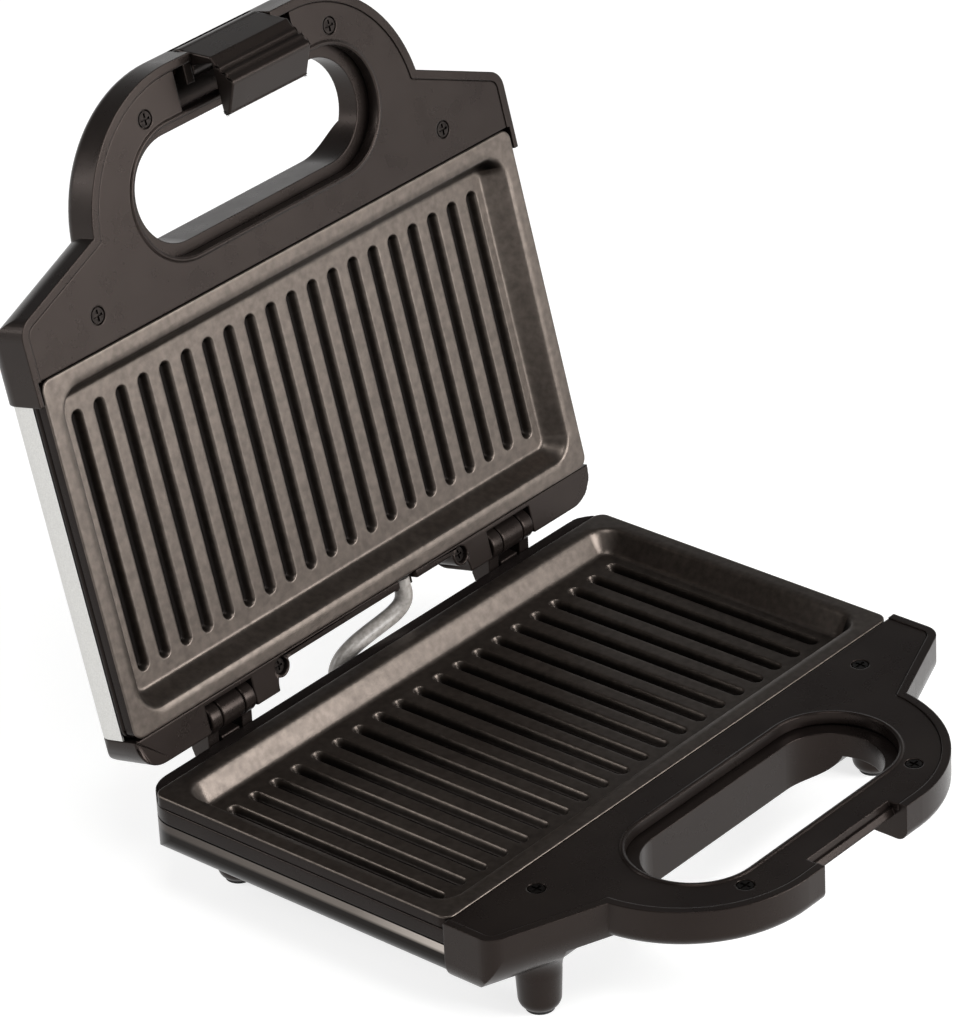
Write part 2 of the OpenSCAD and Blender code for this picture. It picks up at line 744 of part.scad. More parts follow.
module leg_rear_right() {
  color(black) lower() leg(leg_x, feet_y[1]);
}
module foot_front_left() {
  color("#1c1b1a") lower() pad(-leg_x, feet_y[0]);
}
module foot_front_right() {
  color("#1c1b1a") lower() pad(leg_x, feet_y[0]);
}
module foot_rear_left() {
  color("#1c1b1a") lower() pad(-leg_x, feet_y[1]);
}
module foot_rear_right() {
  color("#1c1b1a") lower() pad(leg_x, feet_y[1]);
}

// Gland of the cord inlet in the base's rear wall
module cord_gland() {
  color(black) lower() translate([gland_x, base_rear - 3.5, gland_z]) rotate([-90, 0, 0])
    difference() {
      union() {
        cylinder(h = 8.6, r = 5.1);
        translate([0, 0, 4.1]) cylinder(h = 1.6, r = 6.4);
      }
      translate([0, 0, -1]) cylinder(h = 12, r = gland_bore);
    }
}
module terminal_block() {
  color("ivory") lower() translate([gland_x - 9, hd - 11.2, -base_h + skin_t + 0.1]) difference() {
    cube([18, 6, 7.6]);
    for (x = [4, 9, 14]) translate([x, -1, 4.6]) rotate([-90, 0, 0]) cylinder(h = 10, r = 1.4);
  }
}
module thermal_fuse() {
  color(steel) lower() translate([-26, 0, -plate_t - 2.2]) {
    rotate([0, 90, 0]) cylinder(h = 14, r = 2);
    translate([-8, 0, 0]) rotate([0, 90, 0]) cylinder(h = 30, r = 0.5);
  }
}
module thermostat() {
  color(steel) upper() translate([0, 14, -plate_t - 0.2]) {
    translate([0, 0, -4]) cylinder(h = 4, r = 8);
    translate([-11, -3, -0.8]) cube([22, 6, 0.8]);
  }
}
// Lamp lenses in the lid's outer face, above the handle
module lamp(x, tint) {
  color(tint) upper() translate([x, lamp_y, -lid_h]) {
    translate([0, 0, -0.9]) cylinder(h = 3.4, r = 3.9);
    translate([0, 0, 2.5]) cylinder(h = 1.2, r = 4.6);
  }
}
module lamp_power() {
  lamp(-lamp_x, "red");
}
module lamp_ready() {
  lamp(lamp_x, "limegreen");
}
module upper_shell() {
  pivot_z = shut_gap - latch_up;
  color(black) upper() difference() {
    union() {
      shell(lid_h, pocket_half + wall);
      // laps outside frame and skin
      both() along_y(joint_y - e, side_lap + e) intersection() {
        rounded_base(apron_x, lid_h, 8);
        translate([hw + 0.5 + fit, -lid_h]) square([apron_flare, lid_h]);
      }
    }
    // pocket behind the latch, closed towards the finger hole
    translate([-pocket_half, front_y + lip_w, -11])
      cube([2*pocket_half, hole_cy - tube_r - wall - front_y - lip_w, 20]);
    // slot in the front wall and room for the barrel
    translate([-latch_half - 0.6, front_y - 2, -11]) cube([2*(latch_half + 0.6), 12, 20]);
    translate([0, latch_y, pivot_z]) rotate([0, 90, 0])
      cylinder(h = 2*(latch_half + 0.6), r = latch_r + 0.6, center = true);
    both() translate([lamp_x, lamp_y, -lid_h - 2]) cylinder(h = 8, r = 4);
  }
  // ears that carry the latch's pin
  color(black) upper() both() difference() {
    translate([latch_half + 0.6, front_y + 1, -11.5])
      cube([3.4, 2*(latch_y - front_y) - 1, 10.9]);
    translate([latch_half, latch_y, pivot_z]) rotate([0, 90, 0])
      cylinder(h = 10, r = latch_pin_r + 0.02);
  }
}
module upper_panel() {
  color(black) upper() difference() {
    panel();
    translate([-pocket_half, front_y - 5, -10])
      cube([2*pocket_half, hole_cy - hole_r - ring_w + 5 - front_y, 20]);
  }
}
module upper_panel_screws() {
  color(steel) upper() screws();
}
module latch_pin() {
  color(steel) turned() translate([0, latch_y, latch_up]) rotate([0, 90, 0])
    cylinder(h = 2*(latch_half + 3.8), r = latch_pin_r, center = true);
}
// Clip with a leaning plate and a ribbed hook that reaches under the catch
module latch() {
  foot_y = strip_y - 0.3 - latch_t;
  hook_y = foot_y + hook_len;
  color(black) turned() difference() {
    along_x(latch_half) {
      translate([latch_y, latch_up]) circle(latch_r);
      polygon([[latch_y - latch_r, latch_up], [foot_y - 0.2, hook_z], [foot_y + latch_t, hook_z],
        [foot_y + latch_t, -1], [latch_y, latch_up - latch_r + 0.2]]);
      // hook: a ridge in front, a leaning face with a rib, and a lip below the catch
      polygon([[foot_y - 0.2, hook_z], [foot_y + 3.6, hook_z - 2.2], [foot_y + 7.6, hook_z - 7.2],
        [foot_y + 9, hook_z - 7.6], [hook_y + 1.8, hook_z - 2.8], [hook_y + 1.2, hook_z]]);
      translate([foot_y + 3.9, hook_z - 2]) circle(1.1);
      translate([foot_y + 5.8, hook_z - 4.5]) circle(0.9);
      translate([foot_y + 8.4, hook_z - 6.1]) circle(1.5);
      translate([hook_y + 1.2, hook_z - 1.4]) circle(1.4);
    }
    translate([0, latch_y, latch_up]) rotate([0, 90, 0])
      cylinder(h = 100, r = latch_pin_r + pin_fit, center = true);
  }
}

// Ends of the lead: x and z in the base's wall, x and shut height in the lid's
lead_low = [-13, -15];
lead_high = [19, 7.3];
// Route of the lead between the halves, y counted from the plate's rear edge
route = [[-13, 0.7, -15], [-13, 6.7, -15], [-12.8, 9.4, -14.3], [-12.2, 11.6, -11.9],
  [-11, 12.4, -8.2], [-8.4, 12, -4.6], [-3.6, 11, -1.6], [2.4, 10, 0.4], [8.4, 9, 2],
  [14, 8, 3.8], [17.6, 7.4, 6.2], [19, 7.5, 9.2], [19, 8.2, 12.2], [19, 8.85, 15]];
route_n = len(route);
sides = 10;
function unit(v) = v/norm(v);
function way(i) = unit(route[min(i + 1, route_n - 1)] - route[max(i - 1, 0)]);
// sideways direction of a ring; the route never runs along [1, -1, -1]
function side_of(i) = unit(cross(way(i), [1, -1, -1]));
function ring(i) = [for (k = [0:sides - 1]) let (a = 360*k/sides, u = side_of(i), v = cross(way(i), u))
  route[i] + lead_r*(cos(a)*u + sin(a)*v)];
module lead_sleeve() {
  points = [for (i = [0:route_n - 1]) each ring(i)];
  low_cap = [[for (k = [0:sides - 1]) k]];
  high_cap = [[for (k = [sides - 1:-1:0]) (route_n - 1)*sides + k]];
  walls = [for (i = [0:route_n - 2], k = [0:sides - 1]) each [
    [i*sides + k, (i + 1)*sides + k, i*sides + (k + 1)%sides],
    [i*sides + (k + 1)%sides, (i + 1)*sides + k, (i + 1)*sides + (k + 1)%sides]]];
  color("#d9d8d4") lower() translate([0, hd, 0]) polyhedron(points, concat(low_cap, walls, high_cap));
}
module lead_bush(collar) {
  difference() {
    union() {
      cylinder(h = 4, r = lead_r + 1.1);
      translate([0, 0, 2.6]) cylinder(h = 1.4, r = lead_r + collar);
    }
    translate([0, 0, -1]) cylinder(h = 8, r = lead_r + 0.15);
  }
}
module lower_lead_bush() {
  color(black) lower() translate([lead_low[0], base_rear - 2.2, lead_low[1]])
    rotate([-90, 0, 0]) lead_bush(2);
}
module upper_lead_bush() {
  color(black) turned() translate([lead_high[0], recess_y - 2.4, lead_high[1]])
    rotate([-90, 0, 0]) difference() {
      lead_bush(1.1);
      // cut away where the notch is open
      translate([-20, 1.2, -5]) cube([40, 20, 20]);
    }
}

lower_shell();
lower_panel();
lower_frame();
lower_skin();
lower_rear_housing();
lower_plate();
lower_element();
lower_element_clamp();
lower_heat_shield();
lower_panel_screws();
leg_front_left();
leg_front_right();
leg_rear_left();
leg_rear_right();
foot_front_left();
foot_front_right();
foot_rear_left();
foot_rear_right();
hinge_pin_left();
hinge_pin_right();
cord_gland();
terminal_block();
thermal_fuse();
lead_sleeve();
lower_lead_bush();
upper_lead_bush();
upper_shell();
upper_panel();
upper_frame();
upper_skin();
upper_rear_housing();
upper_plate();
upper_element();
upper_element_clamp();
upper_heat_shield();
upper_panel_screws();
upper_rear_screws();
thermostat();
lamp_power();
lamp_ready();
latch_pin();
latch();
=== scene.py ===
"""Sandwich toaster standing open: two ribbed grill halves, looped handles, rear hinge and latch."""

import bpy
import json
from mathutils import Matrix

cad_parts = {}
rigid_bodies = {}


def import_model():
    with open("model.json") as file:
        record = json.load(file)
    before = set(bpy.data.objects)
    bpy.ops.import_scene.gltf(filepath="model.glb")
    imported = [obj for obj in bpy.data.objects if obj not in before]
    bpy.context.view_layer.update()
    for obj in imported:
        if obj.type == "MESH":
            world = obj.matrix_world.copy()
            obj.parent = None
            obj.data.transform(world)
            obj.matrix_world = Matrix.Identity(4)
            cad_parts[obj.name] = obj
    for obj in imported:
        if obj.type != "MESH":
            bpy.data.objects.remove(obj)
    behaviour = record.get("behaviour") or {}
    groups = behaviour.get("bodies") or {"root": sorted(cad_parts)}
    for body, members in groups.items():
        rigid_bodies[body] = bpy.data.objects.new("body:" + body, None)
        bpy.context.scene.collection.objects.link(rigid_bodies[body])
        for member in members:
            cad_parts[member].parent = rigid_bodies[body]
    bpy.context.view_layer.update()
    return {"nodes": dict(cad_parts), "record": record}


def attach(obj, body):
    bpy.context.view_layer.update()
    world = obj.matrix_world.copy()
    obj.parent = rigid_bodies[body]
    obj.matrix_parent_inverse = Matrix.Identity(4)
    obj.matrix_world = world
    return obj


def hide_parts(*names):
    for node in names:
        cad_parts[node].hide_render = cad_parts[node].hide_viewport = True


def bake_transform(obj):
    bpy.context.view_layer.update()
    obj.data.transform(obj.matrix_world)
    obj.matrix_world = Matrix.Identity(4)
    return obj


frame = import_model()

import json
import math

import bmesh
import bpy
import numpy as np
from mathutils import Matrix

NODES = frame["nodes"]

# Sizes, in millimetres
PLATE_W, PLATE_D = 230.0, 125.6
HW, HD = PLATE_W / 2, PLATE_D / 2
HALF_H, HANDLE_H, LEG_H = 22.5, 13.5, 19.5
OPEN = math.radians(103.45)
SHUT_GAP, HINGE_UP, HINGE_Y = 3.0, 8.2, HD + 8.1
FRONT_Y, EDGE_R = -HD - 76.0, 4.0
# the open lid's handle reaches furthest back, with its rounded edge
EDGE_UP = SHUT_GAP + HANDLE_H - EDGE_R - HINGE_UP
REAR_Y = HINGE_Y - (HINGE_Y - FRONT_Y - EDGE_R) * math.cos(OPEN) + EDGE_UP * math.sin(OPEN) + EDGE_R
MID_Y = (FRONT_Y + REAR_Y) / 2
BODY_Z = LEG_H + HALF_H


# Places
def base_place(p):
    """Points of the base half, millimetres, moved to the table and centred: metres."""
    return (np.asarray(p, float) + (0, -MID_Y, BODY_Z)) / 1000


def shut_place(p):
    """Points drawn shut over the base, turned open about the hinge: metres."""
    p = np.asarray(p, float)
    y, z = p[..., 1] - HINGE_Y, p[..., 2] - HINGE_UP
    c, s = math.cos(OPEN), math.sin(OPEN)
    return base_place(np.stack([p[..., 0], HINGE_Y + y * c + z * s, HINGE_UP - y * s + z * c], -1))


def lid_place(p):
    """Points of the lid half, drawn like the base's and mirrored over the gap: metres."""
    p = np.asarray(p, float)
    return shut_place(np.stack([p[..., 0], p[..., 1], SHUT_GAP - p[..., 2]], -1))


# Camera
def make_camera():
    """Camera on the line az, el from the target, turned about its own axis by roll."""
    az, el, roll = math.radians(-48.35), math.radians(28.97), math.radians(-3.0)
    focal_px, picture_px, sensor_mm, distance = 5469, 1024, 36.0, 1.7594
    target = base_place((-17.83, 2.63, 79.52))
    back = np.array([math.sin(az) * math.cos(el), -math.cos(az) * math.cos(el), math.sin(el)])
    right = np.cross(-back, (0, 0, 1))
    right /= np.linalg.norm(right)
    up = np.cross(right, -back)
    x = right * math.cos(roll) + up * math.sin(roll)
    y = -right * math.sin(roll) + up * math.cos(roll)
    cam = bpy.data.cameras.new("camera")
    cam.sensor_width, cam.sensor_fit, cam.lens = sensor_mm, "AUTO", focal_px / picture_px * sensor_mm
    cam.clip_start, cam.clip_end = 0.1, 20.0
    eye = bpy.data.objects.new("camera", cam)
    turn = Matrix([[x[i], y[i], back[i]] for i in range(3)]).to_4x4()
    eye.matrix_world = Matrix.Translation((target + back * distance).tolist()) @ turn
    bpy.context.scene.collection.objects.link(eye)
    bpy.context.scene.camera = eye


make_camera()


# Materials
def linear(code):
    """sRGB hex colour to linear light, with alpha 1."""
    c = np.array([int(code[i:i + 2], 16) for i in (1, 3, 5)]) / 255
    return tuple(np.where(c <= 0.04045, c / 12.92, ((c + 0.055) / 1.055) ** 2.4)) + (1.0,)


def add(tree, kind, settings=None, **links):
    """Adds a node. settings gives its properties and socket values, and a colour ramp's stops as (position,
    hex) pairs; links join its inputs, a number after a single underscore being an input's place, and two
    underscores a space."""
    n = tree.nodes.new("ShaderNode" + kind)
    for key, value in (settings or {}).items():
        if key == "stops":
            marks = n.color_ramp.elements
            while len(marks) < len(value):
                marks.new(0.5)
            for i, (at, code) in enumerate(value):
                marks[i].position, marks[i].color = at, linear(code)
        elif key in n.inputs.keys() or isinstance(key, int):
            n.inputs[key].default_value = value
        else:
            setattr(n, key, value)
    for key, source in links.items():
        tree.links.new(source, n.inputs[int(key[1:]) if key[0] == "_" else key.replace("__", " ")])
    return n


def new_material(name, **shader):
    """Material with a principled shader whose own sockets take the given constants."""
    m = bpy.data.materials.new(name)
    m.use_nodes = True
    t = m.node_tree
    b = t.nodes["Principled BSDF"]
    for key, value in shader.items():
        b.inputs[key.replace("__", " ")].default_value = value
    return m, t, b


def surface_look(m, t, b, colours, blotch_mm, rough, rough_mm, grain_mm, strength, depth_mm):
    """Colour in blotches of one size, roughness in patches of another, and a grain that bumps the surface.
    Sizes are the real ones in millimetres: a noise of scale k has features about 1/k metres across."""
    at = add(t, "TexCoord").outputs["Object"]
    broad = add(t, "TexNoise", {"Scale": 1000 / blotch_mm, "Detail": 3.0}, Vector=at)
    shade = add(t, "ValToRGB", {"stops": [(0.32, colours[0]), (0.68, colours[1])]}, _0=broad.outputs[0])
    t.links.new(shade.outputs[0], b.inputs["Base Color"])
    patch = add(t, "TexNoise", {"Scale": 1000 / rough_mm, "Detail": 4.0, "Roughness": 0.6}, Vector=at)
    span = add(t, "MapRange", {"From Min": 0.3, "From Max": 0.7, "To Min": rough[0], "To Max": rough[1]},
               Value=patch.outputs[0])
    t.links.new(span.outputs[0], b.inputs["Roughness"])
    grain = add(t, "TexNoise", {"Scale": 1000 / grain_mm, "Detail": 2.0}, Vector=at)
    bump = add(t, "Bump", {"Strength": strength, "Distance": depth_mm / 1000}, Height=grain.outputs[0])
    t.links.new(bump.outputs[0], b.inputs["Normal"])
    return m


# tint of the black finishes' highlights, and the radius to which shading rounds a moulding's edges
WARM_GLOSS, EDGE_MM = "#ffe6da", 0.7


def moulded_black():
    """Black polypropylene, injection moulded in a polished tool: dark brown-black with long soft highlights,
    and edges that catch the light as rounded ones do."""
    m, t, b = new_material("moulded_black_polypropylene", IOR=1.45, Specular__IOR__Level=0.3,
                           Specular__Tint=linear(WARM_GLOSS))
    surface_look(m, t, b, ("#130f0e", "#1a1614"), 30, (0.25, 0.33), 12, 1.8, 0.03, 0.02)
    edge = add(t, "Bevel", {"samples": 6, "Radius": EDGE_MM / 1000})
    t.links.new(edge.outputs[0], b.inputs["Normal"].links[0].from_node.inputs["Normal"])
    return m


def nonstick():
    """Sprayed and baked coat with fine metal flake on cast aluminium: satin, brown-grey where it meets the
    light and near black where it faces the dark, with the orange peel of a sprayed coat. Painted shade
    darkens the colour to near black in the grooves and on the pan's wall on the handle's side."""
    m, t, b = new_material("nonstick_flake_coat_on_cast_aluminium", Metallic=0.93)
    surface_look(m, t, b, ("#504944", "#5f5751"), 2.6, (0.34, 0.44), 14, 1.5, 0.35, 0.08)
    coat = b.inputs["Base Color"].links[0].from_socket
    # painted shade: the groove numbers darken the coat to near black
    shade = add(t, "Attribute", {"attribute_name": "groove"})
    mixed = add(t, "Mix", {"data_type": "RGBA", 7: linear("#0f0c0b")}, _0=shade.outputs["Fac"], _6=coat)
    t.links.new(mixed.outputs[2], b.inputs["Base Color"])
    return m


def enamel_black():
    """Black stoved enamel on pressed sheet: smooth, a little glossier than the mouldings."""
    m, t, b = new_material("stoved_black_enamel_on_sheet_steel", IOR=1.5, Specular__IOR__Level=0.15,
                           Specular__Tint=linear(WARM_GLOSS))
    return surface_look(m, t, b, ("#141110", "#1b1716"), 16, (0.2, 0.3), 20, 2.8, 0.05, 0.03)


def brushed_stainless():
    """Stainless sheet, belt-brushed from side to side: fine lines along X, satin reflections. On the base's
    sheet the colour carries painted shade: darker from the front moulding to the hinge, and near black
    where it rolls under."""
    front, rear, roll_end, roll_start, rim = -0.06, 0.08, 0.0285, 0.0298, BODY_Z / 1000
    m, t, b = new_material("brushed_stainless_steel_sheet", Metallic=1.0)
    at = add(t, "TexCoord").outputs["Object"]
    # lines 0.385 mm apart and 167 mm long
    line = add(t, "Mapping", {"Scale": (6.0, 2600.0, 2600.0)}, Vector=at)
    streak = add(t, "TexNoise", {"Scale": 1.0, "Detail": 3.0, "Roughness": 0.6}, Vector=line.outputs[0])
    brushed_colour = add(t, "ValToRGB", {"stops": [(0.3, "#bdbcb9"), (0.7, "#d4d3d0")]}, _0=streak.outputs[0])
    part = add(t, "SeparateXYZ", Vector=at)
    # painted shade: on the base's sheet the colour darkens from the front moulding towards the hinge
    back = add(t, "MapRange", {"From Min": front, "From Max": rear}, Value=part.outputs[1])
    painted_shade_stops = [(0.0, "#b9b0a8"), (0.3, "#6f6862"), (1.0, "#3a3532")]
    painted_rear_shade = add(t, "ValToRGB", {"stops": painted_shade_stops}, _0=back.outputs[0])
    # painted shade: near black where the base's sheet rolls under
    side = add(t, "MapRange", {"From Min": roll_end, "From Max": roll_start}, Value=part.outputs[2])
    painted_base_shade = add(t, "Mix", {"data_type": "RGBA", 6: linear("#1e1b19")}, _0=side.outputs[0],
               _7=painted_rear_shade.outputs[0])
    base = add(t, "Math", {"operation": "LESS_THAN", 1: rim}, _0=part.outputs[2])
    mixed = add(t, "Mix", {"data_type": "RGBA"}, _0=base.outputs[0], _6=brushed_colour.outputs[0], _7=painted_base_shade.outputs[2])
    t.links.new(mixed.outputs[2], b.inputs["Base Color"])
    rough = add(t, "MapRange", {"To Min": 0.24, "To Max": 0.38}, Value=streak.outputs[0])
    t.links.new(rough.outputs[0], b.inputs["Roughness"])
    bump = add(t, "Bump", {"Strength": 0.08, "Distance": 0.00005}, Height=streak.outputs[0])
    t.links.new(bump.outputs[0], b.inputs["Normal"])
    return m


def plain(name, low, high, rough, size_mm, **shader):
    """Finish of a small piece: two close colours in blotches of a real size, faint grain."""
    m, t, b = new_material(name, **shader)
    spread = (rough - 0.05, rough + 0.05)
    return surface_look(m, t, b, (low, high), size_mm, spread, 3 * size_mm, size_mm / 2, 0.08, 0.05)


FINISH = {
    "body_plastic": moulded_black(),
    "frame_metal": enamel_black(),
    "steel_skin": brushed_stainless(),
    "grill_plate": nonstick(),
    "heater_tube": plain("heat_stained_nickel_steel_sheath", "#6d655c", "#8b847b", 0.45, 3.0, Metallic=1.0),
    "zinc_steel": plain("zinc_plated_pressed_steel", "#a9abab", "#c3c4c2", 0.35, 8.0, Metallic=1.0),
    "pin_steel": plain("bright_zinc_plated_pin_steel", "#8f8a85", "#a8a39e", 0.28, 1.5, Metallic=1.0),
    "screw_black": plain("chemically_blackened_screw_steel", "#1a1716", "#2a2624", 0.42, 1.5, Metallic=1.0),
    "foot_rubber": plain("moulded_nitrile_rubber", "#161515", "#1e1d1c", 0.75, 1.2, IOR=1.5),
    "terminal_white": plain("steatite_terminal_ceramic", "#d6d2c4", "#e2dfd4", 0.5, 2.0, IOR=1.6),
    "fuse_metal": plain("tinned_copper_fuse_case", "#b4b1a8", "#c8c5bd", 0.35, 2.0, Metallic=1.0),
    "lead_sleeving": plain("varnished_glass_fibre_sleeving", "#7f7a75", "#a09b96", 0.34, 1.6, IOR=1.5),
    "lens_red": plain("red_polycarbonate_lens", "#8c1410", "#a01a14", 0.15, 5.0, IOR=1.58),
    "lens_green": plain("green_polycarbonate_lens", "#1c6b2a", "#237a33", 0.15, 5.0, IOR=1.58),
}
# slot, finish and body of each node
SLOT = {part["node"]: part["material_slot"] for part in frame["record"]["subparts"]}
BODY = {node: NODES[node].parent.name.split(":")[-1] for node in SLOT}
for node, slot in SLOT.items():
    NODES[node].data.materials.clear()
    NODES[node].data.materials.append(FINISH[slot])


# Surfaces
def grid_mesh(points, wrap=False, caps=()):
    """Quads of an (n, m, 3) grid; wrap joins the last column to the first, and caps names the rows that a
    face closes."""
    n, m = points.shape[:2]
    i = np.arange(n * m).reshape(n, m)
    j = np.concatenate([i, i[:, :1]], 1) if wrap else i
    quads = np.stack([j[:-1, :-1], j[1:, :-1], j[1:, 1:], j[:-1, 1:]], -1).reshape(-1, 4)
    return points.reshape(-1, 3), quads.tolist() + [i[k].tolist() for k in caps]


# points closer than this, in metres, are one, and faces that turn by fewer degrees are one flat face
WELD, LEVEL = 2e-6, 0.2
# edges that turn by more degrees than these stay hard
SHARP, PLATE_SHARP, EASED_SHARP = 40.0, 50.0, 36.0


def make_piece(name, parts, place, nodes, sharp=SHARP, slot=None, **shades):
    """One closed object from (points in mm, faces) parts, moved to its place and put for CAD nodes; shades
    are numbers per point, by name, that its material reads."""
    points, faces, start = [], [], 0
    for p, f in parts:
        points.append(place(p))
        faces += [[v + start for v in face] for face in f]
        start += len(p)
    mesh = bpy.data.meshes.new(name)
    mesh.from_pydata(np.concatenate(points).tolist(), [], faces)
    for key, values in shades.items():
        mesh.attributes.new(key, "FLOAT", "POINT").data.foreach_set("value", values)
    bm = bmesh.new()
    bm.from_mesh(mesh)
    bmesh.ops.remove_doubles(bm, verts=bm.verts, dist=WELD)
    bmesh.ops.recalc_face_normals(bm, faces=bm.faces)
    bm.to_mesh(mesh)
    bm.free()
    return place_piece(name, mesh, nodes, sharp, slot)


def place_piece(name, mesh, nodes, sharp, slot=None):
    """Object of a finished mesh, with the slot and finish of the CAD nodes that it stands for."""
    slot = slot or SLOT[nodes[0]]
    mesh.shade_smooth()
    mesh.set_sharp_from_angle(angle=math.radians(sharp))
    mesh.materials.clear()
    mesh.materials.append(FINISH[slot])
    o = bpy.data.objects.new(name, mesh)
    bpy.context.scene.collection.objects.link(o)
    if nodes:
        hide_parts(*nodes)
    return o


def eased(node, width):
    """Merged copy of a CAD solid, its sharp edges rounded by width in mm as a mould or press leaves them."""
    mesh = NODES[node].data.copy()
    bm = bmesh.new()
    bm.from_mesh(mesh)
    bmesh.ops.remove_doubles(bm, verts=bm.verts, dist=WELD / 2)
    bmesh.ops.dissolve_limit(bm, angle_limit=math.radians(LEVEL), verts=bm.verts, edges=bm.edges)
    bmesh.ops.triangulate(bm, faces=bm.faces, quad_method="BEAUTY", ngon_method="BEAUTY")
    bm.to_mesh(mesh)
    bm.free()
    mesh.name = node + "_eased"
    o = place_piece(node + "_eased", mesh, [node], EASED_SHARP)
    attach(o, BODY[node])
    bevel = o.modifiers.new("eased_edges", "BEVEL")
    bevel.width, bevel.segments = width / 1000, 3
    bevel.limit_method, bevel.angle_limit = "ANGLE", math.radians(EASED_SHARP)
    bevel.use_clamp_overlap = False
    # flat faces keep their own direction beside the rounded edges
    flat = o.modifiers.new("flat_faces", "WEIGHTED_NORMAL")
    flat.mode, flat.weight, flat.keep_sharp = "FACE_AREA_WITH_ANGLE", 100, False


# Grill plates
PAN_X, PAN_Y, PAN_R, PAN_DEPTH = HW - 6.0, HD - 6.0, 9.0, 7.7
PAN_LIP, PAN_SLOPE, PAN_EASE = 0.5, 5.0, 0.9
PLATE_R, RIM_R, FLANGE_T, PLATE_T = 4.0, 0.6, 4.0, 11.7
FLAT_R = PLATE_R - RIM_R
UNDER_X, UNDER_Y, UNDER_R = 101.0, 48.8, 9.0
GROOVES, GROOVE_PITCH, GROOVE_DEPTH, GROOVE_END = 20, 10.25, 3.0, 43.3
GROOVE_HALF, GROOVE_LOW, GROOVE_EASE = 2.35, 1.35, 0.45


def eased_slope(t, a, b, e):
    """0 before a, 1 after b, straight between, with both bends rounded over plus and minus e."""
    def bend(u):
        return np.where(u < -e, 0.0, np.where(u > e, u, (u + e) ** 2 / (4 * e)))
    return (bend(t - a) - bend(t - b)) / (b - a)


def groove_depth(x, y):
    """0 on the ridges, 1 in a groove, by the distance to the nearest middle line, so that it ends round."""
    near = np.clip(np.round(x / GROOVE_PITCH - 0.5), -GROOVES / 2, GROOVES / 2 - 1) + 0.5
    far = np.hypot(x - near * GROOVE_PITCH, np.maximum(np.abs(y) - GROOVE_END, 0))
    return 1 - eased_slope(far, GROOVE_LOW, GROOVE_HALF, GROOVE_EASE)


def pan_height(x, y):
    """Height of a plate: the pan falls with the distance inside a rounded rectangle, and grooves cut in."""
    qx, qy = np.abs(x) - (PAN_X - PAN_R), np.abs(y) - (PAN_Y - PAN_R)
    outside = np.hypot(np.maximum(qx, 0), np.maximum(qy, 0)) + np.minimum(np.maximum(qx, qy), 0) - PAN_R
    z = -PAN_DEPTH * eased_slope(-outside, PAN_LIP, PAN_SLOPE, PAN_EASE)
    return z - GROOVE_DEPTH * groove_depth(x, y)


def mirrored(lines):
    """Grid lines from the middle outwards, repeated on the other side."""
    lines = np.unique(np.round(lines, 4))
    return np.unique(np.concatenate([-lines, lines]))


